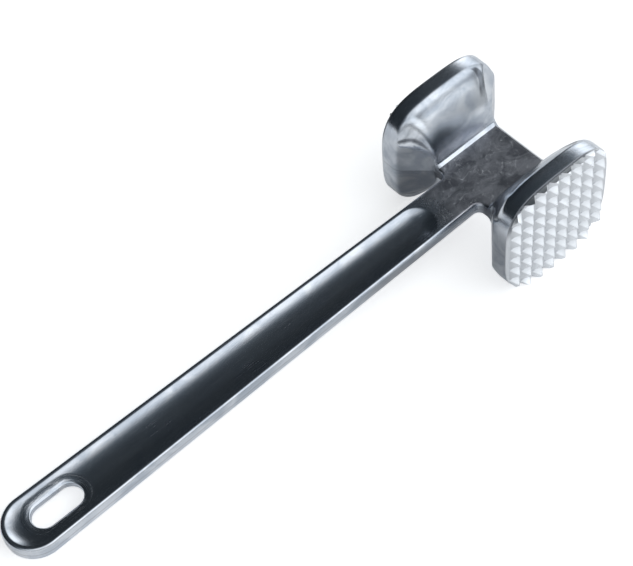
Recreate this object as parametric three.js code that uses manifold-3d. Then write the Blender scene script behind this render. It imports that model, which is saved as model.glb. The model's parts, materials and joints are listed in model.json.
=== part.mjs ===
import * as THREE from "three";
import { mergeVertices } from "three/addons/utils/BufferGeometryUtils.js";
import Module from "manifold-3d";

// Meat mallet, die-cast in one piece, lying on a table on its handle's end and its heads' lower edges.
// Casting frame: X runs along the handle to the heads, Y across them, Z square to the handle's flat faces.
// The handle's round end is at X = 0 and the parting plane of the casting is Z = 0. Millimetres.
// The finished casting is then tilted about Y into its rest pose, with the table at Z = 0.

const wasm = await Module();
wasm.setup();

// Overall size
const overallLength = 190;
const headSpan = 53;

// Handle bar
const handleEndWidth = 17.2;
const handleNeckWidth = 13.2;
const handleEndThickness = 4.9;
const handleEdgeRound = 0.8;
const partingBulge = 0.15;

// Long dish in both faces of the handle
const dishDepth = 1.4;
const dishRim = 1.1;
const dishToBlock = 12;
const dishSquareness = 3;

// Hanging slot
const slotLength = 15.1;
const slotWidth = 7.2;
const slotFromEnd = 8.2;

// Block between the heads
const blockWidth = 19;
const blockLength = 23.9;
const blockThickness = 4.4;
const blockFromFarSide = 8.1;
const blockChamfer = 1.2;
const blockFillet = 2;
const neckLength = 8;

// Head plates
const plateLength = 39.5;
const plateHeight = 38.8;
const plateThickness = 5;
const plateCornerRadius = 11;
const plateEdgeRound = 0.35;

// Corner facets of the flare behind a plate, where they meet it
const facetLength = 7.2;
const facetHeight = 8.7;
const facetRound = 3;

// Striking teeth, square pyramids with a flat tip and a flat valley, inside a plain border of the plate
const coarseTeeth = {
  pitch: 4.63,
  width: 3.9,
  height: 2.1,
  tip: 0.4,
  border: 0.2,
  columns: 8,
  rows: 9,
};
const fineTeeth = {
  pitch: 3.4,
  width: 3,
  height: 1.8,
  tip: 0.3,
  border: 1.5,
  columns: 10,
  rows: 10,
};
const toothSink = 0.25;

// Overrun of every cutting body
const overrun = 5;

// Fineness of the faceted curves, and rounds of the search for the rest tilt
const endSteps = 9;
const bodySteps = 8;
const runOutSteps = 6;
const filletSteps = 5;
const flareSteps = 18;
const cornerSteps = 3;
const slotSteps = 10;
const restRounds = 6;

// Places that follow from the sizes
const endRadius = handleEndWidth / 2;
const neckHalf = handleNeckWidth / 2;
const plateCentre = overallLength - plateLength / 2;
const blockFar = overallLength - blockFromFarSide;
const blockNear = blockFar - blockLength;
const blockHalf = blockWidth / 2;
const filletStart = blockNear - blockFillet;
const joinPlane = blockNear - neckLength;
const dishEnd = blockNear - dishToBlock;
const plateBack = headSpan / 2 - coarseTeeth.height - plateThickness;

// Flare of a head, from the block (0) to the back of its plate (1): depth, height and corner facet
const flareShares = [
  [0, -0.01, 0.08],
  [0.05, 0.026, 0.08],
  [0.1, 0.058, 0.08],
  [0.136, 0.116, 0.09],
  [0.2, 0.22, 0.09],
  [0.3, 0.355, 0.15],
  [0.444, 0.506, 0.25],
  [0.657, 0.703, 0.42],
  [0.859, 0.878, 0.65],
  [1, 1, 1],
];
const flareEndWallShares = [0.19, 0.95];

// Spread of a section's points: over the rim beside the dish, and from the rim to the middle
const rimPointShares = [0, 0.15, 0.45, 0.73, 1];
const facePointShares = [0.95, 0.86, 0.72, 0.5, 0.25, 0];

const castMetal = {
  color: 0xa9adb1,
  metalness: 1,
  roughness: 0.24,
};

const toSolid = (geometry) => {
  geometry.deleteAttribute("normal");
  geometry.deleteAttribute("uv");
  const merged = mergeVertices(geometry);
  return new wasm.Manifold(new wasm.Mesh({
    numProp: 3,
    vertProperties: new Float32Array(merged.attributes.position.array),
    triVerts: new Uint32Array(merged.index.array),
  }));
};

const toGeometry = (solid) => {
  const mesh = solid.getMesh();
  const geometry = new THREE.BufferGeometry();
  geometry.setAttribute("position", new THREE.BufferAttribute(new Float32Array(mesh.vertProperties), 3));
  geometry.setIndex(new THREE.BufferAttribute(new Uint32Array(mesh.triVerts), 1));
  return geometry;
};

const pointsOf = (solid) => {
  const position = toGeometry(solid).getAttribute("position");
  const pointAt = (_, i) => new THREE.Vector3().fromBufferAttribute(position, i);
  return Array.from({ length: position.count }, pointAt);
};

// A closed solid through rings of as many points each, with flat ends; flatOf lays an end ring in a plane
const loftRings = (rings, flatOf) => {
  const count = rings[0].length;
  const positions = rings.flat().flatMap((point) => [point.x, point.y, point.z]);
  const triangles = [];
  for (let ring = 1; ring < rings.length; ring += 1) {
    for (let i = 0; i < count; i += 1) {
      const next = (i + 1) % count;
      const low = (ring - 1) * count;
      const high = ring * count;
      triangles.push(low + i, low + next, high + next);
      triangles.push(low + i, high + next, high + i);
    }
  }
  const addEnd = (ring, turned) => {
    const start = ring * count;
    const faces = THREE.ShapeUtils.triangulateShape(rings[ring].map(flatOf), []);
    for (const [a, b, c] of faces) {
      triangles.push(start + (turned ? c : a), start + b, start + (turned ? a : c));
    }
  };
  addEnd(0, true);
  addEnd(rings.length - 1, false);
  const geometry = new THREE.BufferGeometry();
  geometry.setAttribute("position", new THREE.Float32BufferAttribute(positions, 3));
  geometry.setIndex(triangles);
  return toSolid(geometry);
};

// Half width of the bar along its length, with the full-round end and the fillets that sink into the heads
const halfWidthAt = (x) => {
  if (x < endRadius) {
    return Math.sqrt(Math.max(0, x * (handleEndWidth - x)));
  }
  const along = Math.min(1, (x - endRadius) / (filletStart - endRadius));
  const straight = THREE.MathUtils.lerp(endRadius, neckHalf, along);
  if (x <= filletStart) {
    return straight;
  }
  if (x <= blockNear) {
    const reach = x - filletStart;
    return neckHalf + blockFillet - Math.sqrt(Math.max(0, blockFillet * blockFillet - reach * reach));
  }
  return blockHalf + blockFillet;
};

const halfThicknessAt = (x) => {
  const along = Math.min(1, x / joinPlane);
  return THREE.MathUtils.lerp(handleEndThickness, blockThickness, along) / 2;
};

// Distance of a point of the flat face from the bar's outline
const insetAt = (x, y) => {
  const side = Math.abs(y);
  if (x < endRadius) {
    return endRadius - Math.hypot(x - endRadius, side);
  }
  const filletCentre = neckHalf + blockFillet;
  if (x > filletStart && side < filletCentre) {
    return Math.hypot(x - filletStart, side - filletCentre) - blockFillet;
  }
  return x > blockNear ? x - blockNear : halfWidthAt(x) - side;
};

// The dish closes in an arc as wide as it is, whose centre is this
const dishLastHalf = halfWidthAt(dishEnd) - dishRim;
const dishLastCentre = dishEnd - dishLastHalf;

// Depth of the dish, as a share of its full depth
const dishShareAt = (x, y) => {
  let reach = Math.abs(y) / (halfWidthAt(x) - dishRim);
  if (x < endRadius) {
    reach = Math.hypot(x - endRadius, y) / (endRadius - dishRim);
  }
  if (x > dishLastCentre) {
    reach = Math.hypot(x - dishLastCentre, y) / dishLastHalf;
  }
  return Math.max(0, 1 - reach ** dishSquareness);
};

const faceHeightAt = (x, y) => {
  const inset = THREE.MathUtils.clamp(insetAt(x, y), 0, handleEdgeRound);
  const missing = handleEdgeRound - inset;
  const rise = Math.sqrt(Math.max(0, handleEdgeRound * handleEdgeRound - missing * missing));
  const edgeFall = handleEdgeRound - rise;
  const farFall = Math.max(0, blockChamfer - (blockFar - x));
  return halfThicknessAt(x) - edgeFall - farFall - dishDepth * dishShareAt(x, y);
};

// Section of the bar at a station: the parting line, over the top face, and back along the bottom face
const barRing = (x) => {
  const half = halfWidthAt(x);
  const rim = Math.min(dishRim, half / 2);
  const sides = rimPointShares.map((share) => half - rim * share);
  sides.push(...facePointShares.map((share) => (half - rim) * share));
  const across = [...sides, ...sides.slice(0, -1).reverse().map((y) => -y)];
  const bulge = half + partingBulge * Math.min(1, half / endRadius);
  const top = across.map((y) => new THREE.Vector3(x, y, faceHeightAt(x, y)));
  const bottom = top.map((point) => new THREE.Vector3(x, point.y, -point.z)).reverse();
  return [new THREE.Vector3(x, bulge, 0), ...top, new THREE.Vector3(x, -bulge, 0), ...bottom];
};

// Handle, neck and block in one loft along X
const makeBar = () => {
  const stations = [];
  for (let i = 1; i <= endSteps; i += 1) {
    stations.push(endRadius * (1 - Math.cos((Math.PI / 2) * (i / endSteps))));
  }
  for (let i = 1; i <= bodySteps; i += 1) {
    stations.push(THREE.MathUtils.lerp(endRadius, dishLastCentre, i / bodySteps));
  }
  for (let i = 1; i <= runOutSteps; i += 1) {
    stations.push(dishLastCentre + dishLastHalf * Math.sin((Math.PI / 2) * (i / runOutSteps)));
  }
  for (let i = 0; i <= filletSteps; i += 1) {
    stations.push(filletStart + blockFillet * Math.sin((Math.PI / 2) * (i / filletSteps)));
  }
  for (const share of rimPointShares.slice(1)) {
    stations.push(blockNear + handleEdgeRound * share);
  }
  stations.push(blockFar - blockChamfer, blockFar);
  return loftRings(stations.map(barRing), (point) => new THREE.Vector2(point.y, point.z));
};

// Rounded rectangle of a plate, with as many points as the octagon of a flare
const plateRing = (y, inset) => {
  const radius = plateCornerRadius - inset;
  const corners = [[1, 1], [-1, 1], [-1, -1], [1, -1]];
  const turns = 2 * cornerSteps + 1;
  return corners.flatMap(([sideX, sideZ], corner) => {
    const x = plateCentre + sideX * (plateLength / 2 - plateCornerRadius);
    const z = sideZ * (plateHeight / 2 - plateCornerRadius);
    return Array.from({ length: turns + 1 }, (_, i) => {
      const angle = (Math.PI / 2) * (corner + i / turns);
      return new THREE.Vector3(x + radius * Math.cos(angle), y, z + radius * Math.sin(angle));
    });
  });
};

// Section of the flare behind a plate: an octagon with rounded corners
const flareRing = (side, depth, height, facet) => {
  const { clamp, lerp } = THREE.MathUtils;
  const [wallStart, wallEnd] = flareEndWallShares;
  const spread = clamp((depth - wallStart) / (wallEnd - wallStart), 0, 1);
  const near = lerp(blockNear, plateCentre - plateLength / 2, spread);
  const far = lerp(blockFar, overallLength, spread);
  const halfLength = (far - near) / 2;
  const halfHeight = lerp(blockThickness, plateHeight, height) / 2;
  const corners = [];
  for (const [sideX, sideZ] of [[1, 1], [-1, 1], [-1, -1], [1, -1]]) {
    const upright = new THREE.Vector2(sideX * halfLength, sideZ * (halfHeight - facetHeight * facet));
    const level = new THREE.Vector2(sideX * (halfLength - facetLength * facet), sideZ * halfHeight);
    corners.push(...(sideX === sideZ ? [upright, level] : [level, upright]));
  }
  const outline = corners.flatMap((corner, i) => {
    const before = corners.at(i - 1).clone().sub(corner);
    const after = corners[(i + 1) % corners.length].clone().sub(corner);
    const longest = Math.min(before.length(), after.length()) / 2;
    const reach = Math.min((facetRound * facet) / Math.tan(before.angleTo(after) / 2), longest);
    const start = corner.clone().addScaledVector(before.normalize(), reach);
    const end = corner.clone().addScaledVector(after.normalize(), reach);
    return new THREE.QuadraticBezierCurve(start, corner, end).getPoints(cornerSteps);
  });
  const y = side * lerp(blockHalf, plateBack, depth);
  return outline.map((point) => new THREE.Vector3((near + far) / 2 + point.x, y, point.y));
};

// A solid through plate sections, which are listed from the block outwards
const loftAcross = (rings) => {
  const outwards = rings.at(-1)[0].y > rings[0][0].y;
  const turned = rings.map((ring) => (outwards ? ring.toReversed() : ring));
  const turn = outwards ? 1 : -1;
  return loftRings(turned, (point) => new THREE.Vector2(turn * point.z, point.x));
};

// Field of teeth on the plate's front at this distance from the middle, clipped by the plate's outline
const makeTeeth = (side, teeth, root) => {
  const slope = (teeth.width - teeth.tip) / teeth.height;
  const height = teeth.height + toothSink;
  const foot = teeth.width + toothSink * slope;
  const tooth = new THREE.CylinderGeometry(
    teeth.tip / Math.SQRT2,
    foot / Math.SQRT2,
    height,
    4,
    1,
    false,
    Math.PI / 4,
  );
  tooth.translate(0, root - toothSink + height / 2, 0);
  if (side < 0) {
    tooth.rotateX(Math.PI);
  }
  const field = [];
  for (let column = 0; column < teeth.columns; column += 1) {
    for (let row = 0; row < teeth.rows; row += 1) {
      const x = plateCentre + teeth.pitch * (column - (teeth.columns - 1) / 2);
      const z = teeth.pitch * (row - (teeth.rows - 1) / 2);
      field.push(toSolid(tooth.clone().translate(x, 0, z)));
    }
  }
  const span = [root - toothSink, root + teeth.height + overrun];
  const clip = loftAcross(span.map((y) => plateRing(side * y, teeth.border)));
  return wasm.Manifold.union(field).intersect(clip);
};

// One head, from inside the block to the tips of its teeth
const makeHead = (side, teeth) => {
  const root = headSpan / 2 - teeth.height;
  const knots = flareShares.map((shares) => new THREE.Vector3(...shares));
  const profile = new THREE.CatmullRomCurve3(knots, false, "catmullrom");
  const rings = profile.getPoints(flareSteps).map(({ x, y, z }) => flareRing(side, x, y, z));
  rings.push(plateRing(side * (plateBack + plateEdgeRound), 0));
  rings.push(plateRing(side * (root - plateEdgeRound), 0));
  rings.push(plateRing(side * root, plateEdgeRound));
  return loftAcross(rings).add(makeTeeth(side, teeth, root));
};

// Stadium-shaped cutter of the hanging slot
const makeSlot = () => {
  const radius = slotWidth / 2;
  const first = slotFromEnd + radius;
  const last = slotFromEnd + slotLength - radius;
  const shape = new THREE.Shape();
  shape.absarc(first, 0, radius, Math.PI / 2, (3 * Math.PI) / 2);
  shape.absarc(last, 0, radius, -Math.PI / 2, Math.PI / 2);
  const depth = handleEndThickness + overrun;
  const cutter = new THREE.ExtrudeGeometry(shape, { depth, bevelEnabled: false, curveSegments: slotSteps });
  return toSolid(cutter.translate(0, 0, -depth / 2));
};

// Tilt at which the handle and the heads touch the table together, from the lowest point of each in turn
const findRestTilt = (barPoints, headPoints) => {
  let tilt = 0;
  for (let round = 0; round < restRounds; round += 1) {
    const heightOf = (point) => point.z * Math.cos(tilt) + point.x * Math.sin(tilt);
    const lowest = (points) => points.reduce((low, point) => (heightOf(point) < heightOf(low) ? point : low));
    const tail = lowest(barPoints);
    const corner = lowest(headPoints);
    tilt = Math.atan2(tail.z - corner.z, corner.x - tail.x);
  }
  return tilt;
};

const bar = makeBar().subtract(makeSlot());
const heads = {
  coarse_head: makeHead(-1, coarseTeeth),
  fine_head: makeHead(1, fineTeeth),
};

// Rest pose: the tilt, then the middle of the casting's floor area to the origin
const headPoints = Object.values(heads).flatMap(pointsOf);
const barPoints = pointsOf(bar);
const restTurn = new THREE.Matrix4().makeRotationY(-findRestTilt(barPoints, headPoints));
const turnedPoints = [...barPoints, ...headPoints].map((point) => point.applyMatrix4(restTurn));
const extent = new THREE.Box3().setFromPoints(turnedPoints);
const middle = extent.getCenter(new THREE.Vector3());
const restPose = new THREE.Matrix4().makeTranslation(-middle.x, -middle.y, -extent.min.z).multiply(restTurn);
const layDown = (solid) => toSolid(toGeometry(solid).applyMatrix4(restPose));

// Box between two planes of X and two of Y, past the casting above and below
const makeRegion = (fromX, toX, fromY, toY) => {
  const box = new THREE.BoxGeometry(toX - fromX, toY - fromY, plateHeight + overallLength);
  return toSolid(box.translate((fromX + toX) / 2, (fromY + toY) / 2, 0));
};

// The named regions of the casting meet on flat planes that stand square on the table
const joinX = new THREE.Vector3(joinPlane, 0, 0).applyMatrix4(restPose).x;
const beyond = overallLength + overrun;
const laidBar = layDown(bar);
const laidBlock = laidBar.intersect(makeRegion(joinX, beyond, -beyond, beyond));
const laidCoarse = layDown(heads.coarse_head).add(laidBlock);
const laidFine = layDown(heads.fine_head).add(laidBlock);
const pieces = {
  handle: laidBar.intersect(makeRegion(-beyond, joinX, -beyond, beyond)),
  neck_block: laidBlock.intersect(makeRegion(joinX, beyond, -blockHalf, blockHalf)),
  coarse_head: laidCoarse.intersect(makeRegion(-beyond, beyond, -beyond, -blockHalf)),
  fine_head: laidFine.intersect(makeRegion(-beyond, beyond, blockHalf, beyond)),
};

const mallet = new THREE.Group();
for (const [name, solid] of Object.entries(pieces)) {
  const geometry = toGeometry(solid);
  geometry.computeVertexNormals();
  const mesh = new THREE.Mesh(geometry, new THREE.MeshStandardMaterial(castMetal));
  mesh.name = name;
  mallet.add(mesh);
}

export default mallet;
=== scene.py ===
import json
import math

import bmesh
import bpy
from mathutils import Matrix, Vector


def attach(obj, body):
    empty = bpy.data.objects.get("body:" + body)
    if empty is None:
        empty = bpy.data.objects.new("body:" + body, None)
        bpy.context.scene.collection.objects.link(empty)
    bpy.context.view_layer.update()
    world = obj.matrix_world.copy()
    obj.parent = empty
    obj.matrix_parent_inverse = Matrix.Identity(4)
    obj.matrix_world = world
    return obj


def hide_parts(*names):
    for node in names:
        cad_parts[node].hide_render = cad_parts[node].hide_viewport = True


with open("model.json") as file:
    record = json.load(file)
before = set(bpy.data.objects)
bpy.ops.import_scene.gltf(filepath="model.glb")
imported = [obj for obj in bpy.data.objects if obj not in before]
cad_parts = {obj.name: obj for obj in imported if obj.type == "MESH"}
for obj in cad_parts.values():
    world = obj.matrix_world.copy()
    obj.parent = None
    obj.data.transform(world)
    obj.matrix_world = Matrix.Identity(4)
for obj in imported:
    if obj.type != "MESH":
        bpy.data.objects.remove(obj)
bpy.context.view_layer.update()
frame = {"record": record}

# Sizes of the casting in millimetres: X runs along the handle from its round end, Y across the heads, and Z
# stands on the parting plane
LENGTH = 190
HEAD_SPAN = 53

# Handle bar, whose round end is flattened by a hair to stay inside the overall length
END_WIDTH = 17.2
NECK_WIDTH = 13.2
END_THICKNESS = 4.9
EDGE_ROUND = 0.8
PARTING_BULGE = 0.15
TIP_FLAT = 0.14

# Long dish in both faces of the handle
DISH_DEPTH = 1.4
DISH_RIM = 1.3
DISH_TO_BLOCK = 12
DISH_SQUARENESS = 3
DISH_LIP = 0.1

# Hanging slot
SLOT_LENGTH = 15.1
SLOT_WIDTH = 7.2
SLOT_FROM_END = 8.2
SLOT_ROUND = 0.4

# Block between the heads
BLOCK_WIDTH = 19
BLOCK_LENGTH = 23.9
BLOCK_THICKNESS = 4.4
BLOCK_FROM_FAR_SIDE = 8.1
BLOCK_CHAMFER = 1.2
BLOCK_FILLET = 2
NECK_LENGTH = 8

# Head plates, and the round where a flare turns into the rim of its plate
PLATE_LENGTH = 39.5
PLATE_HEIGHT = 38.8
PLATE_THICKNESS = 5
PLATE_SQUARENESS = 3.44
PLATE_EDGE_ROUND = 0.35
RIM_ROUND = 1.3

# Striking teeth: square pyramids with a flat tip, inside a plain border of the plate
COARSE = {
    "pitch": 4.63,
    "width": 3.9,
    "height": 2.1,
    "tip": 0.4,
    "round": 0.16,
    "border": 0.2,
    "columns": 8,
    "rows": 9,
}
FINE = {
    "pitch": 3.4,
    "width": 3,
    "height": 1.8,
    "tip": 0.3,
    "round": 0.1,
    "border": 1.5,
    "columns": 10,
    "rows": 10,
}
TOOTH_SINK = 0.25

# Flare of a head, from the block (0) to the back of its plate (1): depth share, height share
FLARE_SHARES = [
    (0, 0),
    (0.05, 0.026),
    (0.1, 0.058),
    (0.136, 0.116),
    (0.2, 0.238),
    (0.3, 0.39),
    (0.444, 0.545),
    (0.657, 0.73),
    (0.859, 0.878),
    (1, 1),
]
CROWN_REACH = 12.7

# End walls of the flare: the depth shares between which they spread, and their draft off the parting plane
END_WALL_SHARES = (0.19, 0.95)
SIDE_DRAFT = 0.11
MOST_DRAFT = 1.3

# Corner facet of the flare: depth share, share of its full size
CORNER_LENGTH = 7.2
CORNER_HEIGHT = 8.7
CORNER_SHARES = [
    (0, 0.08),
    (0.19, 0.09),
    (0.27, 0.13),
    (0.37, 0.2),
    (0.565, 0.34),
    (0.76, 0.5),
    (0.88, 0.68),
    (1, 0.95),
]
CORNER_SOFTNESS = (0.25, 0.7)

# Fineness of the meshes
EDGE_STEPS = 10
LIP_STEPS = 12
FACE_STEPS = 14
END_STEPS = 30
DISH_STEPS = 30
DISH_END_STEPS = 48
SLOT_POINTS = 64
SLOT_EDGE_STEPS = 6
SPOKE_STEPS = 60
FLARE_STEPS = 48
RIM_STEPS = 8
PLATE_EDGE_STEPS = 5
SMOOTH_BELOW = math.radians(28)
TINY = 1e-4

# Tones of the metal, and how far its relief stands
HANDLE_TONES = ((0.44, 0.48, 0.54), (0.63, 0.655, 0.7))
HEAD_TONES = ((0.42, 0.46, 0.52), (0.65, 0.68, 0.725))
MATT_TONES = ((0.24, 0.245, 0.275), (0.5, 0.505, 0.545))
TOOTH_TONE = (0.78, 0.8, 0.83)
WORN_TONE = (0.8, 0.81, 0.83)
SEAM_TONE = (0.2, 0.2, 0.21)
# Darker tone of the teeth's valleys
VALLEY_TONE = (0.4, 0.41, 0.43)
# Painted reflections and shade: dark lines and a bar on the flares, a dark band above the coarse teeth, and
# shade in the corners by the block
PAINTED_DARK_TONE = (0.09, 0.1, 0.12)
RELIEF_DEPTH = 0.06
RELIEF_STRENGTH = 0.5
LAND_HEIGHT = 4.5

# Table: its colour, its own light to the camera and in the metal, and the spots that the metal mirrors dark
# (place, reach and strength)
TABLE_SIZE = 12
TABLE_TONE = (0.88, 0.88, 0.88)
SHADE_TONE = (0.1, 0.1, 0.11)
LIFT_SEEN = 0.58
LIFT_MIRRORED_NEAR = 0.16
LIFT_MIRRORED_FAR = 0.4
SHADED_SPOTS = [((0.056, 0.012, 0), 0.02, 0.6), ((0.043, -0.014, 0), 0.026, 0.5)]

# Studio light: each lobe has a direction and the start and end of its rise towards it, and a lamp its strength
NEAR_WALL = ((0, -1, 0), -0.14, 0.34)
RIGHT_WALL = ((1, 0, 0), 0.45, 0.75)
WALL_TOP = ((0, 0, 1), 0.15, 0.5)
WALL_FOOT = ((0, 0, 1), -0.02, 0.04)
WALL_TOP_SHARE = 0.63
WALL_FOOT_SHARE = 0.37
TENT_STRENGTH = 0.95
DIM_LIGHT = 0.036
LAMPS = [
    ((0.1, -1, 0.3), -0.35, 0.35, 0.1),
    ((0.4, -0.6, 0.69), 0.78, 0.97, 0.5),
    ((0.8, 0.47, 0.37), 0.9, 0.98, 0.9),
    ((0.53, 0, 0.85), 0.955, 0.993, 0.6),
]
DIM_TINT = (0.7, 0.86, 1)
BRIGHT_TINT = (0.94, 0.975, 1)

# Camera at the photograph's place
CAMERA_PLACE = (-0.20281, -0.22786, 0.39451)
CAMERA_TURN = (39.873, -0.723, -41.857)
CAMERA_LENS = 104.28
CAMERA_SENSOR = 36

MM = 0.001

# Places that follow from the sizes
end_radius = END_WIDTH / 2
neck_half = NECK_WIDTH / 2
slot_radius = SLOT_WIDTH / 2
slot_first = SLOT_FROM_END + slot_radius
slot_last = SLOT_FROM_END + SLOT_LENGTH - slot_radius
plate_centre = LENGTH - PLATE_LENGTH / 2
block_far = LENGTH - BLOCK_FROM_FAR_SIDE
block_near = block_far - BLOCK_LENGTH
block_half = BLOCK_WIDTH / 2
fillet_start = block_near - BLOCK_FILLET
join_plane = block_near - NECK_LENGTH
dish_end = block_near - DISH_TO_BLOCK
coarse_root = HEAD_SPAN / 2 - COARSE["height"]
flare_depth = coarse_root - PLATE_THICKNESS - block_half
# Middle of the painted shade in the corners by the block, folded onto one corner
shaded_corner = (block_near - 0.3, block_half + 0.3, 1)
depth_steps = [step / 12 for step in range(13)]

# The casting lies tilted, as the mount on top of its block tells
block_top = next(m for m in frame["record"]["mounts"] if m["name"] == "block_top")
tilt = math.atan2(-block_top["axis"][0], block_top["axis"][2])
top_middle = Vector(((block_near + block_far - BLOCK_CHAMFER) / 2, 0, BLOCK_THICKNESS / 2)) * MM
mount_to_world = Matrix.Translation(block_top["pos_m"]) @ Matrix.Rotation(-tilt, 4, "Y")
rest_place = mount_to_world @ Matrix.Translation(-top_middle)
casting_to_world = rest_place @ Matrix.Scale(MM, 4)


def lerp(low, high, share):
    return low + (high - low) * share


def clamp(value, low=0.0, high=1.0):
    return max(low, min(high, value))


def quarter_turn(steps):
    """Evenly spaced angles from 0 to a quarter turn."""
    return [math.radians(90 * step / steps) for step in range(steps + 1)]


def value_at(knots, share):
    """Value of a smooth curve through the knots."""
    for number in range(len(knots) - 1):
        (x1, y1), (x2, y2) = knots[number], knots[number + 1]
        if share <= x2 or number == len(knots) - 2:
            break
    x0, y0 = knots[number - 1] if number else (x1, y1)
    x3, y3 = knots[number + 2] if number + 2 < len(knots) else (x2, y2)
    width = x2 - x1
    out = (y2 - y0) / (x2 - x0) * width
    into = (y3 - y1) / (x3 - x1) * width
    t = clamp((share - x1) / width)
    return y1 + out * t + (3 * (y2 - y1) - 2 * out - into) * t**2 + (2 * (y1 - y2) + out + into) * t**3


# Working on pieces
def only(piece):
    bpy.ops.object.select_all(action="DESELECT")
    piece.select_set(True)
    bpy.context.view_layer.objects.active = piece


def apply_modifier(piece, kind, **settings):
    only(piece)
    modifier = piece.modifiers.new(kind.title(), kind)
    for name, value in settings.items():
        setattr(modifier, name, value)
    bpy.ops.object.modifier_apply(modifier=modifier.name)


def join_solid(piece, tool, operation):
    apply_modifier(piece, "BOOLEAN", object=tool, operation=operation, solver="EXACT")
    bpy.data.objects.remove(tool)


def loft(name, rings, start_closed=True):
    """A body through rings of as many points each: a circle that is extruded and shaped, ring by ring."""
    bpy.ops.object.select_all(action="DESELECT")
    bpy.ops.mesh.primitive_circle_add(vertices=len(rings[0]), fill_type="NOTHING")
    piece = bpy.context.object
    piece.name = piece.data.name = name
    bpy.ops.object.mode_set(mode="EDIT")
    bpy.ops.mesh.select_all(action="SELECT")
    if start_closed:
        bpy.ops.mesh.edge_face_add()
        bpy.ops.mesh.select_all(action="SELECT")
    for number, ring in enumerate(rings):
        if number:
            bpy.ops.mesh.extrude_region_move()
        shape = bmesh.from_edit_mesh(piece.data)
        fresh = [vertex for vertex in shape.verts if vertex.select]
        for vertex, point in zip(fresh, ring):
            vertex.co = point
    if not start_closed:
        bpy.ops.mesh.edge_face_add()
    bpy.ops.mesh.select_all(action="SELECT")
    bpy.ops.mesh.remove_doubles(threshold=TINY)
    bpy.ops.mesh.normals_make_consistent(inside=False)
    bpy.ops.object.mode_set(mode="OBJECT")
    return piece


def settle(piece, node, material, body="root"):
    """Puts a finished piece in its place in the frame, as the CAD node's stand-in."""
    piece.data.transform(casting_to_world)
    only(piece)
    bpy.ops.object.shade_smooth_by_angle(angle=SMOOTH_BELOW, keep_sharp_edges=False)
    piece.data.materials.clear()
    piece.data.materials.append(material)
    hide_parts(node)
    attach(piece, body)


# Bar of the handle and the block: its outline, its thickness and its dished faces
def half_width_at(x):
    if x < end_radius:
        return math.sqrt(max(0, x * (END_WIDTH - x)))
    if x <= fillet_start:
        return lerp(end_radius, neck_half, (x - end_radius) / (fillet_start - end_radius))
    if x <= block_near:
        reach = x - fillet_start
        return neck_half + BLOCK_FILLET - math.sqrt(max(0, BLOCK_FILLET**2 - reach**2))
    return block_half


def half_thickness_at(x):
    return lerp(END_THICKNESS, BLOCK_THICKNESS, clamp(x / join_plane)) / 2


def inset_at(x, y):
    """Distance of a point of the flat face from the bar's outline."""
    side = abs(y)
    if x < end_radius:
        return end_radius - math.hypot(x - end_radius, side)
    fillet_centre = neck_half + BLOCK_FILLET
    if x > fillet_start and side < fillet_centre:
        return math.hypot(x - fillet_start, side - fillet_centre) - BLOCK_FILLET
    return x - block_near if x > block_near else half_width_at(x) - side


dish_last_half = half_width_at(dish_end) - DISH_RIM
dish_last_centre = dish_end - dish_last_half


def dish_share_at(x, y):
    """Depth of the dish there as a share of its full depth, with a softened lip."""
    reach = abs(y) / (half_width_at(x) - DISH_RIM)
    if x < end_radius:
        reach = math.hypot(x - end_radius, y) / (end_radius - DISH_RIM)
    if x > dish_last_centre:
        reach = math.hypot(x - dish_last_centre, y) / dish_last_half
    rise = 1 - reach**DISH_SQUARENESS
    return (math.sqrt(rise**2 + DISH_LIP**2) + rise) / 2 if rise > -1 else 0


def face_height_at(x, y):
    missing = EDGE_ROUND - clamp(inset_at(x, y), 0, EDGE_ROUND)
    edge_fall = EDGE_ROUND - math.sqrt(max(0, EDGE_ROUND**2 - missing**2))
    far_fall = max(0, BLOCK_CHAMFER - (block_far - x))
    return half_thickness_at(x) - edge_fall - far_fall - DISH_DEPTH * dish_share_at(x, y)


def across(half):
    """Sideways places of a section's points, from its +Y edge to the middle."""
    insets = [EDGE_ROUND * (1 - math.cos(turn)) for turn in quarter_turn(EDGE_STEPS)]
    insets += [lerp(EDGE_ROUND, 2 * DISH_RIM, step / LIP_STEPS) for step in range(1, LIP_STEPS + 1)]
    middle = half - 2 * DISH_RIM
    inner = [middle * (1 - step / FACE_STEPS) for step in range(1, FACE_STEPS + 1)]
    return [half - inset for inset in insets] + inner


def spoked_point(place, turn):
    """Point of the round end on a spoke that is turned from straight across towards the tip."""
    radius = abs(place)
    x = end_radius - radius * math.sin(turn)
    y = radius * math.cos(turn)
    return Vector((max(TIP_FLAT, x), y if place > 0 else -y, 0))


def bar_ring(x, turn=None):
    """Section of the bar at x, or with a turn a spoked section of its round end."""
    straight = turn is None
    half = half_width_at(x) if straight else end_radius
    bulge = half + PARTING_BULGE * (1 if straight else math.cos(turn))
    places = across(half)
    places += [-place for place in reversed(places[:-1])]

    def point(place):
        return Vector((x, place, 0)) if straight else spoked_point(place, turn)

    top = [point(place) for place in places]
    for spot in top:
        spot.z = face_height_at(spot.x, spot.y)
    bottom = [Vector((spot.x, spot.y, -spot.z)) for spot in reversed(top)]
    return [point(bulge), *top, point(-bulge), *bottom]


def slot_ring(height, wider):
    radius = slot_radius + wider
    ring = []
    for step in range(SLOT_POINTS):
        angle = 2 * math.pi * (step + 0.5) / SLOT_POINTS
        centre = slot_last if math.cos(angle) > 0 else slot_first
        ring.append(Vector((centre + radius * math.cos(angle), radius * math.sin(angle), height)))
    return ring


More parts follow.
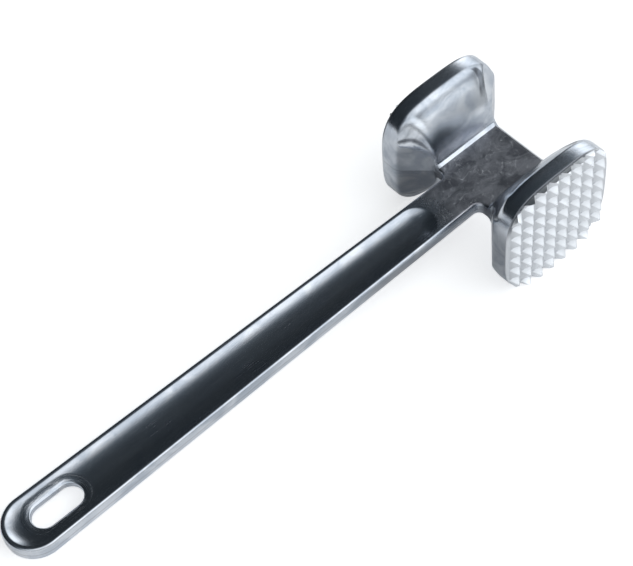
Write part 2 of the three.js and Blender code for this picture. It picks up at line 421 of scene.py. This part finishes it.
def make_slot_cutter():
    """Cutter of the slot, which also rounds the slot's edges in the dish's floor."""
    floor = END_THICKNESS / 2 - DISH_DEPTH
    profile = [(-END_THICKNESS, END_THICKNESS)]
    for step in range(SLOT_EDGE_STEPS + 1):
        angle = math.radians(lerp(75, 0, step / SLOT_EDGE_STEPS))
        height = -floor + SLOT_ROUND * (1 - math.sin(angle))
        profile.append((height, SLOT_ROUND * (1 - math.cos(angle))))
    profile += [(-height, wider) for height, wider in reversed(profile)]
    return loft("slot_cutter", [slot_ring(height, wider) for height, wider in profile])


def make_handle():
    rings = [bar_ring(0, turn) for turn in reversed(quarter_turn(END_STEPS))]
    for step in range(1, DISH_STEPS + 1):
        rings.append(bar_ring(lerp(end_radius, dish_last_centre, step / DISH_STEPS)))
    reach = dish_last_half + DISH_RIM
    for turn in quarter_turn(DISH_END_STEPS)[1:]:
        rings.append(bar_ring(dish_last_centre + reach * math.sin(turn)))
    lip = dish_last_centre + reach
    rings += [bar_ring(lerp(lip, join_plane, step / 3)) for step in range(1, 4)]
    piece = loft("handle_bar", rings, start_closed=False)
    join_solid(piece, make_slot_cutter(), "DIFFERENCE")
    return piece


def make_block():
    flat_end = block_far - BLOCK_CHAMFER
    flat_start = block_near + EDGE_ROUND
    places = [lerp(join_plane, fillet_start, step / 4) for step in range(4)]
    places += [fillet_start + BLOCK_FILLET * math.sin(turn) for turn in quarter_turn(10)]
    places += [block_near + EDGE_ROUND * (1 - math.cos(turn)) + 1e-3 for turn in quarter_turn(EDGE_STEPS)]
    places += [lerp(flat_start, flat_end, step / 8) for step in range(1, 9)]
    places.append(block_far)
    return loft("neck_and_block", [bar_ring(x) for x in places])


# Heads: a flare that grows out of the block, cut all round to the outline of its plate
def plate_reach(angle, inset=0.0):
    """Distance from the plate's middle to its outline, along a spoke."""
    across_x = abs(math.cos(angle)) / (PLATE_LENGTH / 2 - inset)
    across_z = abs(math.sin(angle)) / (PLATE_HEIGHT / 2 - inset)
    return (across_x**PLATE_SQUARENESS + across_z**PLATE_SQUARENESS) ** (-1 / PLATE_SQUARENESS)


def softly_smaller(first, second, softness):
    blend = max(0, softness - abs(first - second))
    return min(first, second) - blend**2 / (4 * softness)


def half_length_at(depth, start):
    """Half length of the flare's section, which starts from this half length of the block."""
    spread = (depth - END_WALL_SHARES[0]) / (END_WALL_SHARES[1] - END_WALL_SHARES[0])
    return lerp(start, PLATE_LENGTH / 2, clamp(spread))


def half_height_at(depth, angle):
    """Half height of the flare's section, whose top runs parallel to the plate's crown."""
    share = value_at(FLARE_SHARES, depth)
    half_height = lerp(BLOCK_THICKNESS, PLATE_HEIGHT, share) / 2
    beside = min(half_height / max(abs(math.tan(angle)), TINY), CROWN_REACH) / (PLATE_LENGTH / 2)
    crown = 1 - (1 - beside**PLATE_SQUARENESS) ** (1 / PLATE_SQUARENESS)
    return half_height - share * PLATE_HEIGHT / 2 * crown


def flare_reach(angle, depth):
    """Distance from the plate's middle line to the flare's surface, along a spoke."""
    far_end = math.cos(angle) > 0
    half_length = half_length_at(depth, block_far - plate_centre if far_end else plate_centre - block_near)
    half_height = half_height_at(depth, angle)
    across_x = max(abs(math.cos(angle)), TINY)
    across_z = max(abs(math.sin(angle)), TINY)
    cut = value_at(CORNER_SHARES, depth)
    cut_x, cut_z = CORNER_LENGTH * cut, CORNER_HEIGHT * cut
    if far_end:
        chamfer = BLOCK_CHAMFER * (1 - 4 * depth)
        cut_x, cut_z = max(cut_x, chamfer), max(cut_z, chamfer)
    slant = half_length * cut_z + half_height * cut_x - cut_x * cut_z
    slant /= across_x * cut_z + across_z * cut_x
    softness = lerp(*CORNER_SOFTNESS, depth)
    square = softly_smaller(half_length / across_x, half_height / across_z, softness)
    return softly_smaller(square, slant, softness)


def spoke_angles():
    """Angles all round, closest together beside the parting plane."""
    quarter = [math.radians(90) * (step / SPOKE_STEPS) ** 1.3 for step in range(SPOKE_STEPS + 1)]
    half = quarter + [math.pi - angle for angle in reversed(quarter[:-1])]
    return half + [math.pi + angle for angle in half[1:-1]]


def meeting_place(angle):
    """Place across the head at which the flare reaches the plate's outline, along a spoke."""
    limit = plate_reach(angle)
    low, high = 0.0, 1.0
    for _ in range(30):
        middle = (low + high) / 2
        if flare_reach(angle, middle) < limit - TINY:
            low = middle
        else:
            high = middle
    return block_half + high * flare_depth


def bend(first, middle, last, t):
    return first * (1 - t) ** 2 + 2 * middle * t * (1 - t) + last * t**2


def spoke_profile(angle, meet, root):
    """Places across the head and reaches of a spoke's points, from the block to the face."""
    limit = plate_reach(angle)
    start = meet - RIM_ROUND
    profile = []
    for step in range(FLARE_STEPS + 1):
        y = lerp(block_half, start, (step / FLARE_STEPS) ** 1.25)
        profile.append((y, flare_reach(angle, (y - block_half) / flare_depth)))
    turn_in = profile[-1][1]
    for step in range(1, RIM_STEPS + 1):
        t = step / RIM_STEPS
        profile.append((bend(start, meet, meet + RIM_ROUND, t), bend(turn_in, limit, limit, t)))
    front = root - PLATE_EDGE_ROUND
    profile += [(lerp(meet + RIM_ROUND, front, step / 4), limit) for step in range(1, 4)]
    for turn in quarter_turn(PLATE_EDGE_STEPS):
        inset = PLATE_EDGE_ROUND * (1 - math.cos(turn))
        profile.append((front + PLATE_EDGE_ROUND * math.sin(turn), plate_reach(angle, inset)))
    return profile


def head_rings(side, root):
    """Rings from the block to the face, whose end walls lean in by their draft off the parting plane."""
    spokes = []
    for angle in spoke_angles():
        meet = meeting_place(angle)
        spoke = []
        for y, reach in spoke_profile(angle, meet, root):
            x, z = reach * math.cos(angle), reach * math.sin(angle)
            fade = clamp((meet - y) / 3) * clamp((y - block_half) / 2) * clamp(abs(x) / 6 - 1)
            x -= math.copysign(min(SIDE_DRAFT * abs(z), MOST_DRAFT) * fade, x)
            spoke.append(Vector((plate_centre + x, side * y, z)))
        spokes.append(spoke)
    return [list(ring) for ring in zip(*spokes)]


def make_first_tooth(side, teeth, root):
    """The pyramid in the lowest corner of the rows and columns, sunk into the face."""
    slope = (teeth["width"] - teeth["tip"]) / teeth["height"]
    height = teeth["height"] + TOOTH_SINK
    corner = Vector((
        plate_centre - teeth["pitch"] * (teeth["columns"] - 1) / 2,
        side * (root - TOOTH_SINK + height / 2),
        -teeth["pitch"] * (teeth["rows"] - 1) / 2,
    ))
    bpy.ops.object.select_all(action="DESELECT")
    bpy.ops.mesh.primitive_cone_add(
        vertices=4,
        radius1=(teeth["width"] + TOOTH_SINK * slope) / math.sqrt(2),
        radius2=teeth["tip"] / math.sqrt(2),
        depth=height,
        rotation=(0, 0, math.radians(45)),
    )
    tooth = bpy.context.object
    bpy.ops.object.transform_apply()
    apply_modifier(
        tooth,
        "BEVEL",
        width=teeth["round"],
        segments=2,
        limit_method="ANGLE",
        angle_limit=math.radians(30),
    )
    tooth.data.transform(Matrix.Translation(corner) @ Matrix.Rotation(math.radians(-90 * side), 4, "X"))
    return tooth


def make_teeth(side, teeth, root):
    """All the teeth of a face, cut to the plate's outline inside its border."""
    field = make_first_tooth(side, teeth, root)
    for axis, count in ((0, teeth["columns"]), (2, teeth["rows"])):
        step = [0, 0, 0]
        step[axis] = teeth["pitch"]
        apply_modifier(
            field,
            "ARRAY",
            count=count,
            use_relative_offset=False,
            use_constant_offset=True,
            constant_offset_displace=step,
        )
    clip_rings = []
    for y in (root - TOOTH_SINK, root + teeth["height"] + TOOTH_SINK):
        ring = []
        for angle in spoke_angles():
            reach = plate_reach(angle, teeth["border"])
            ring.append(Vector((plate_centre + reach * math.cos(angle), side * y, reach * math.sin(angle))))
        clip_rings.append(ring)
    join_solid(field, loft("teeth_clip", clip_rings), "INTERSECT")
    return field


def make_head(name, side, teeth):
    root = HEAD_SPAN / 2 - teeth["height"]
    piece = loft(name, head_rings(side, root))
    join_solid(piece, make_teeth(side, teeth, root), "UNION")
    return piece


# Node building
def link(tree, source, target):
    tree.links.new(source, target)


def add_math(tree, operation, first, second=None, third=None):
    node = tree.nodes.new("ShaderNodeMath")
    node.operation = operation
    for socket, value in zip(node.inputs, (first, second, third)):
        if isinstance(value, (int, float)):
            socket.default_value = value
        elif value is not None:
            link(tree, value, socket)
    return node.outputs[0]


def add_product(tree, first, second):
    return add_math(tree, "MULTIPLY", first, second)


def add_share(tree, value, share, base):
    """A base value plus a share of another."""
    return add_math(tree, "MULTIPLY_ADD", value, share, base)


def add_size(tree, value):
    """A value without its sign."""
    return add_math(tree, "ABSOLUTE", value)


def add_range(tree, value, start, end, low=0.0, high=1.0):
    """A soft rise from low to high as the value goes from start to end."""
    node = tree.nodes.new("ShaderNodeMapRange")
    node.interpolation_type = "SMOOTHSTEP"
    link(tree, value, node.inputs["Value"])
    for name, number in (("From Min", start), ("From Max", end), ("To Min", low), ("To Max", high)):
        node.inputs[name].default_value = number
    return node.outputs["Result"]


def add_limits(tree, value, limits):
    """Value that fades to 0 outside limits, each a measure with the start and end of its rise."""
    for measure, start, end in limits:
        value = add_product(tree, value, add_range(tree, measure, start, end))
    return value


def add_mix(tree, share, first, second):
    node = tree.nodes.new("ShaderNodeMix")
    node.data_type = "RGBA"
    link(tree, share, node.inputs["Factor"])
    for socket, value in ((node.inputs["A"], first), (node.inputs["B"], second)):
        if isinstance(value, tuple):
            socket.default_value = (*value, 1)
        else:
            link(tree, value, socket)
    return node.outputs["Result"]


def add_distance(tree, place, centre):
    node = tree.nodes.new("ShaderNodeVectorMath")
    node.operation = "DISTANCE"
    node.inputs[1].default_value = centre
    link(tree, place, node.inputs[0])
    return node.outputs["Value"]


def add_vector(tree, x, y, z=None):
    node = tree.nodes.new("ShaderNodeCombineXYZ")
    for socket, value in zip(node.inputs, (x, y, z)):
        if value is not None:
            link(tree, value, socket)
    return node.outputs[0]


def add_curve(tree, value, levels):
    """Smooth curve through evenly spaced levels, over a value from 0 to 1."""
    node = tree.nodes.new("ShaderNodeFloatCurve")
    points = node.mapping.curves[0].points
    last = len(levels) - 1
    for number in range(1, last):
        points.new(number / last, levels[number])
    points[0].location = (0, levels[0])
    points[last].location = (1, levels[last])
    node.mapping.update()
    link(tree, value, node.inputs["Value"])
    return node.outputs[0]


def add_place(tree, stretch=(1, 1, 1)):
    """Place on the casting in millimetres, divided by a stretch along each axis."""
    spot = tree.nodes.new("ShaderNodeTexCoord")
    casting = tree.nodes.new("ShaderNodeMapping")
    casting.vector_type = "TEXTURE"
    casting.inputs["Location"].default_value = rest_place.translation
    casting.inputs["Rotation"].default_value = (0, -tilt, 0)
    casting.inputs["Scale"].default_value = [MM * size for size in stretch]
    link(tree, spot.outputs["Object"], casting.inputs["Vector"])
    return casting.outputs["Vector"]


def add_axes(tree):
    """Place on the casting in millimetres as its X, Y and Z."""
    node = tree.nodes.new("ShaderNodeSeparateXYZ")
    link(tree, add_place(tree), node.inputs[0])
    return node.outputs["X"], node.outputs["Y"], node.outputs["Z"]


def add_noise(tree, place, scale, detail, roughness=0.5, distortion=0.0):
    node = tree.nodes.new("ShaderNodeTexNoise")
    link(tree, place, node.inputs["Vector"])
    values = (("Scale", scale), ("Detail", detail), ("Roughness", roughness), ("Distortion", distortion))
    for name, number in values:
        node.inputs[name].default_value = number
    return node.outputs["Fac"]


def new_effect(name, sockets):
    tree = bpy.data.node_groups.new(name, "ShaderNodeTree")
    for socket in sockets:
        tree.interface.new_socket(name=socket, in_out="OUTPUT", socket_type="NodeSocketFloat")
    return tree, tree.nodes.new("NodeGroupOutput").inputs


def use_effect(tree, effect):
    node = tree.nodes.new("ShaderNodeGroup")
    node.node_tree = effect
    return node.outputs


# Effects that the metals share
def make_cast_skin():
    """Soft cloudy unevenness, and a fine grain left by the polishing."""
    tree, out = new_effect("cast_skin", ("Clouds", "Grain"))
    clouds = add_noise(tree, add_place(tree, (1.6, 1, 1)), 0.16, detail=4, roughness=0.55, distortion=0.6)
    link(tree, add_range(tree, clouds, 0.34, 0.66), out["Clouds"])
    link(tree, add_noise(tree, add_place(tree), 2.6, detail=4, roughness=0.62), out["Grain"])
    return tree


def make_rub_marks():
    """Fine rubbing marks along the handle, in patches."""
    tree, out = new_effect("rub_marks", ("Marks",))
    fine = add_noise(tree, add_place(tree, (44, 1, 1)), 3.0, detail=3, roughness=0.6, distortion=0.2)
    patches = add_noise(tree, add_place(tree, (3, 1, 1)), 0.12, detail=2, distortion=0.4)
    marks = add_limits(tree, add_range(tree, fine, 0.53, 0.68), [(patches, 0.36, 0.62)])
    link(tree, marks, out["Marks"])
    return tree


def make_curling_scratches():
    """Curling scratches of tumbling and use, drawn along the contours of a twisted noise."""
    tree, out = new_effect("curling_scratches", ("Scratches",))
    scratches = 0.0
    for scale, twist, width in ((0.09, 2.2, 0.007), (0.15, 3.0, 0.008), (0.27, 1.8, 0.01)):
        place = add_place(tree, (1, 1.25, 1))
        field = add_noise(tree, place, scale, detail=2, roughness=0.45, distortion=twist)
        off = add_size(tree, add_math(tree, "SUBTRACT", field, 0.5))
        line = add_range(tree, off, width, 0, 0, 0.65)
        patches = add_noise(tree, add_place(tree, (1.2, 1, 1)), scale * 1.9, detail=2, distortion=0.3)
        layer = add_limits(tree, line, [(patches, 0.44, 0.56)])
        scratches = add_math(tree, "MAXIMUM", layer, scratches)
    link(tree, scratches, out["Scratches"])
    return tree


def make_parting_line():
    """Line of the die's parting, all round the casting but for the faces of teeth."""
    tree, out = new_effect("parting_line", ("Line",))
    _, y, z = add_axes(tree)
    wander = add_share(tree, add_noise(tree, add_place(tree), 0.12, detail=2), 0.24, -0.12)
    height = add_size(tree, add_math(tree, "ADD", z, wander))
    line = add_range(tree, height, 0.2, 0.04)
    rims = coarse_root - 0.2, coarse_root - 0.5
    link(tree, add_limits(tree, line, [(add_size(tree, y), *rims)]), out["Line"])
    return tree


def make_tooth_valleys():
    """Faces of teeth, their darker and rougher valleys, and a painted dark reflection band above the coarse
    teeth.
    """
    tree, out = new_effect("tooth_valleys", ("Depth", "Face", "PaintedBand"))
    x, y, z = add_axes(tree)
    side = add_size(tree, y)
    face = add_range(tree, side, coarse_root - 0.5, coarse_root - 0.1)
    link(tree, face, out["Face"])
    link(tree, add_limits(tree, face, [(side, coarse_root + 1.5, coarse_root + 0.1)]), out["Depth"])
    outline = 0.0
    for place, centre, half in ((x, plate_centre, PLATE_LENGTH / 2), (z, 0.0, PLATE_HEIGHT / 2)):
        share = add_size(tree, add_share(tree, place, 1 / half, -centre / half))
        outline = add_math(tree, "ADD", outline, add_math(tree, "POWER", share, PLATE_SQUARENESS))
    # Painted dark reflection band on the top of the plate's rim above the coarse teeth
    border = add_limits(tree, add_range(tree, outline, 0.8, 0.87), [
        (side, coarse_root - 0.5, coarse_root - 0.2),
        (side, coarse_root + 0.3, coarse_root + 0.05),
        (z, 7, 12),
        (x, plate_centre + 15, plate_centre + 9),
    ])
    link(tree, border, out["PaintedBand"])
    return tree


def add_past(tree, place, centre, depth, halves, facet):
    """How far past the start of its corner facet a place on the flare is, on one axis.

    The halves of the flare at its depths, and the facet's full size on that axis, say where the facet starts.
    """
    levels = []
    for step, half in zip(depth_steps, halves):
        levels.append((half - facet * value_at(CORNER_SHARES, step)) / PLATE_LENGTH)
    away = add_size(tree, add_math(tree, "SUBTRACT", place, centre))
    return add_share(tree, add_curve(tree, depth, levels), -PLATE_LENGTH, away)


def make_painted_reflections_and_shade():
    """Painted reflections and shade: dark lines beside the flare's corner facets and a dark bar along a corner
    facet, which stand in for reflections, and painted shade in the corners by the block.
    """
    tree, out = new_effect("painted_reflections_and_shade", ("PaintedDark",))
    x, y, z = add_axes(tree)
    reach = add_size(tree, y)
    depth = add_math(tree, "DIVIDE", add_math(tree, "SUBTRACT", reach, block_half), flare_depth)
    lengths = [half_length_at(step, plate_centre - block_near) for step in depth_steps]
    past_side = add_past(tree, x, plate_centre, depth, lengths, CORNER_LENGTH)
    rises = [value_at(FLARE_SHARES, step) for step in depth_steps]
    heights = [lerp(BLOCK_THICKNESS, PLATE_HEIGHT, rise) / 2 for rise in rises]
    past_top = add_past(tree, z, 0.0, depth, heights, CORNER_HEIGHT)
    line = add_limits(tree, add_range(tree, add_size(tree, past_top), 0.8, 0.1), [
        (past_side, -0.4, 0.3),
        (x, plate_centre + 1, plate_centre - 1),
        (depth, 0.08, 0.25),
        (depth, 1.02, 0.9),
    ])
    leaning = add_share(tree, depth, -3.0, add_math(tree, "ADD", past_side, 4.6))
    bar = add_limits(tree, add_range(tree, add_size(tree, leaning), 1.3, 0.6), [
        (past_top, -1.5, -0.5),
        (x, plate_centre - 1, plate_centre + 1),
        (z, 0, 2),
        (depth, 0.4, 0.65),
        (depth, 1.04, 0.98),
    ])
    folded = add_vector(tree, x, reach, add_size(tree, z))
    corner_shade = add_range(tree, add_distance(tree, folded, shaded_corner), 2.6, 1)
    dark = add_math(tree, "MAXIMUM", line, bar)
    link(tree, add_math(tree, "MAXIMUM", dark, corner_shade), out["PaintedDark"])
    return tree


def make_matt_area():
    """Matt, much scratched area of the flat block, which runs out into the polished handle."""
    tree, out = new_effect("matt_area", ("Share",))
    x, _, z = add_axes(tree)
    edge = add_share(tree, add_noise(tree, add_place(tree), 0.14, detail=2), 8, x)
    share = add_range(tree, edge, join_plane - 3, join_plane + 7)
    link(tree, add_limits(tree, share, [(add_size(tree, z), 1.7, 2.1)]), out["Share"])
    return tree


def make_dull_blotches():
    """Dull blotches on the matt area."""
    tree, out = new_effect("dull_blotches", ("Share",))
    cloud = add_noise(tree, add_place(tree, (1.3, 1, 1)), 0.2, detail=5, roughness=0.6, distortion=0.8)
    link(tree, add_range(tree, cloud, 0.36, 0.62), out["Share"])
    return tree


def make_slot_land():
    """Land with turned marks round the hanging slot."""
    tree, out = new_effect("slot_land", ("Land", "Rings"))
    x, y, _ = add_axes(tree)
    nearest = add_math(tree, "MINIMUM", add_math(tree, "MAXIMUM", x, slot_first), slot_last)
    beside = add_math(tree, "SUBTRACT", x, nearest)
    square = add_share(tree, y, y, add_product(tree, beside, beside))
    reach = add_math(tree, "SUBTRACT", add_math(tree, "SQRT", square), slot_radius)
    reach = add_share(tree, add_noise(tree, add_place(tree), 0.3, detail=2), 0.5, reach)
    land = add_limits(tree, add_range(tree, reach, 0.5, 1.5), [(reach, 3, 1.7)])
    link(tree, land, out["Land"])
    turned = add_vector(tree, reach, add_product(tree, x, 0.12))
    rings = add_range(tree, add_noise(tree, turned, 2.4, detail=3, roughness=0.6), 0.5, 0.66)
    link(tree, add_limits(tree, rings, [(reach, 3.6, 1.5)]), out["Rings"])
    return tree


cast_skin = make_cast_skin()
rub_marks = make_rub_marks()
curling_scratches = make_curling_scratches()
parting_line = make_parting_line()
tooth_valleys = make_tooth_valleys()
painted_reflections_and_shade = make_painted_reflections_and_shade()
matt_area = make_matt_area()
dull_blotches = make_dull_blotches()
slot_land = make_slot_land()


# Metals
def add_wear(tree, matt, rings, scratch_share, rub_share):
    """Scratches, rubbing marks and the slot's turned marks; the matt area is scratched most."""
    scratched = add_share(tree, matt, 1 - scratch_share, scratch_share)
    scratches = add_product(tree, use_effect(tree, curling_scratches)["Scratches"], scratched)
    marks = add_product(tree, use_effect(tree, rub_marks)["Marks"], rub_share)
    worn = add_math(tree, "MAXIMUM", scratches, marks)
    return add_math(tree, "MAXIMUM", worn, add_product(tree, rings, 0.7))


def add_relief(tree, height, shader):
    bump = tree.nodes.new("ShaderNodeBump")
    bump.inputs["Strength"].default_value = RELIEF_STRENGTH
    bump.inputs["Distance"].default_value = RELIEF_DEPTH * MM
    link(tree, height, bump.inputs["Height"])
    link(tree, bump.outputs["Normal"], shader.inputs["Normal"])


def make_metal(name, tones, roughness, scratch_share, rub_share, grain_height, matt_share=0.0):
    """Bright cast metal; tones are its dull and its bright colour."""
    material = bpy.data.materials.new(name)
    material.use_nodes = True
    tree = material.node_tree
    shader = tree.nodes["Principled BSDF"]
    shader.inputs["Metallic"].default_value = 1
    skin = use_effect(tree, cast_skin)
    land = use_effect(tree, slot_land)
    teeth = use_effect(tree, tooth_valleys)
    seam = use_effect(tree, parting_line)["Line"]
    matt = add_product(tree, use_effect(tree, matt_area)["Share"], matt_share)
    worn = add_wear(tree, matt, land["Rings"], scratch_share, rub_share)

    blotched = add_mix(tree, use_effect(tree, dull_blotches)["Share"], *MATT_TONES)
    # Painted reflections and shade: dark lines and a bar on the flares, shade in the corners by the block, and
    # a dark band above the coarse teeth
    painted_dark = add_math(tree, "MAXIMUM", use_effect(tree, painted_reflections_and_shade)["PaintedDark"], teeth["PaintedBand"])
    colour = add_mix(tree, skin["Clouds"], *tones)
    for measure, share, tone in (
        (teeth["Face"], 1.0, TOOTH_TONE),
        (matt, 1.0, blotched),
        (worn, 1.0, WORN_TONE),
        (seam, 0.55, SEAM_TONE),
        (teeth["Depth"], 0.25, VALLEY_TONE),
        (painted_dark, 0.8, PAINTED_DARK_TONE),
    ):
        colour = add_mix(tree, add_product(tree, measure, share), colour, tone)
    link(tree, colour, shader.inputs["Base Color"])

    rough = add_share(tree, skin["Clouds"], -0.35 * roughness, 1.2 * roughness)
    for measure, share in (
        (skin["Grain"], 0.5 * roughness),
        (matt, 0.1),
        (worn, 0.24),
        (teeth["Face"], 0.08),
        (teeth["Depth"], 0.1),
    ):
        rough = add_share(tree, measure, share, rough)
    link(tree, rough, shader.inputs["Roughness"])

    relief = add_product(tree, skin["Grain"], grain_height)
    for measure, height in ((worn, -0.25), (seam, 0.5), (land["Land"], LAND_HEIGHT)):
        relief = add_share(tree, measure, height, relief)
    add_relief(tree, relief, shader)
    return material


handle_metal = make_metal(
    "bright_handle_metal",
    HANDLE_TONES,
    roughness=0.16,
    scratch_share=0.12,
    rub_share=0.22,
    grain_height=0.5,
    matt_share=1.0,
)
block_metal = make_metal(
    "matt_block_metal",
    HANDLE_TONES,
    roughness=0.17,
    scratch_share=0.12,
    rub_share=0.15,
    grain_height=0.7,
    matt_share=1.0,
)
head_metal = make_metal(
    "bright_head_metal",
    HEAD_TONES,
    roughness=0.16,
    scratch_share=0.2,
    rub_share=0.1,
    grain_height=0.6,
)
settle(make_handle(), "handle", handle_metal)
settle(make_block(), "neck_block", block_metal)
settle(make_head("coarse_toothed_head", -1, COARSE), "coarse_head", head_metal)
settle(make_head("fine_toothed_head", 1, FINE), "fine_head", head_metal)


# Pale table, which shows white to the camera, pale in the metal, and keeps the mallet's shadow
def finish_table(tree):
    shader = tree.nodes["Principled BSDF"]
    shader.inputs["Roughness"].default_value = 0.9
    shader.inputs["Specular IOR Level"].default_value = 0.1
    shader.inputs["Emission Color"].default_value = (1, 1, 1, 1)
    rays = tree.nodes.new("ShaderNodeLightPath").outputs
    spot = tree.nodes.new("ShaderNodeTexCoord").outputs["Object"]
    shade = 0.0
    for place, size, strength in SHADED_SPOTS:
        away = add_distance(tree, spot, place)
        shade = add_math(tree, "MAXIMUM", add_range(tree, away, size / 5, size, strength, 0), shade)
    mirrored = add_range(tree, away, 0.012, 0.25, LIFT_MIRRORED_NEAR, LIFT_MIRRORED_FAR)
    mirrored = add_product(tree, mirrored, add_math(tree, "SUBTRACT", 1.0, shade))
    shade = add_product(tree, shade, rays["Is Glossy Ray"])
    link(tree, add_mix(tree, shade, TABLE_TONE, SHADE_TONE), shader.inputs["Base Color"])
    lift = add_product(tree, rays["Is Glossy Ray"], mirrored)
    lift = add_share(tree, rays["Is Camera Ray"], LIFT_SEEN, lift)
    link(tree, lift, shader.inputs["Emission Strength"])


def make_table():
    bpy.ops.object.select_all(action="DESELECT")
    bpy.ops.mesh.primitive_plane_add(size=TABLE_SIZE)
    table = bpy.context.object
    table.name = "table"
    finish = bpy.data.materials.new("pale_table")
    finish.use_nodes = True
    finish_table(finish.node_tree)
    table.data.materials.append(finish)
    return table


# Soft studio light: a white tent on the near side and to the right, open and dark on the far left
def make_studio():
    world = bpy.data.worlds.new("studio")
    world.use_nodes = True
    bpy.context.scene.world = world
    tree = world.node_tree
    around = tree.nodes.new("ShaderNodeTexCoord").outputs["Generated"]

    def add_lobe(direction, start, end):
        """Share of light that rises from 0 to 1 as the view turns towards a direction."""
        aim = tree.nodes.new("ShaderNodeVectorMath")
        aim.operation = "DOT_PRODUCT"
        aim.inputs[1].default_value = Vector(direction).normalized()
        link(tree, around, aim.inputs[0])
        return add_range(tree, aim.outputs["Value"], start, end)

    walls = add_math(tree, "MAXIMUM", add_lobe(*NEAR_WALL), add_lobe(*RIGHT_WALL))
    rise = add_product(tree, add_lobe(*WALL_TOP), WALL_TOP_SHARE)
    rise = add_share(tree, add_lobe(*WALL_FOOT), WALL_FOOT_SHARE, rise)
    light = add_share(tree, add_product(tree, walls, rise), TENT_STRENGTH, DIM_LIGHT)
    for direction, start, end, strength in LAMPS:
        light = add_share(tree, add_lobe(direction, start, end), strength, light)
    backdrop = tree.nodes["Background"]
    tint = add_mix(tree, add_range(tree, light, 0.03, 0.5), DIM_TINT, BRIGHT_TINT)
    link(tree, tint, backdrop.inputs["Color"])
    link(tree, light, backdrop.inputs["Strength"])


def make_camera():
    turn = [math.radians(angle) for angle in CAMERA_TURN]
    bpy.ops.object.camera_add(location=CAMERA_PLACE, rotation=turn)
    camera = bpy.context.object
    camera.data.lens = CAMERA_LENS
    camera.data.sensor_width = CAMERA_SENSOR
    bpy.context.scene.camera = camera


make_table()
make_studio()
make_camera()
bpy.context.scene.view_settings.view_transform = "Standard"
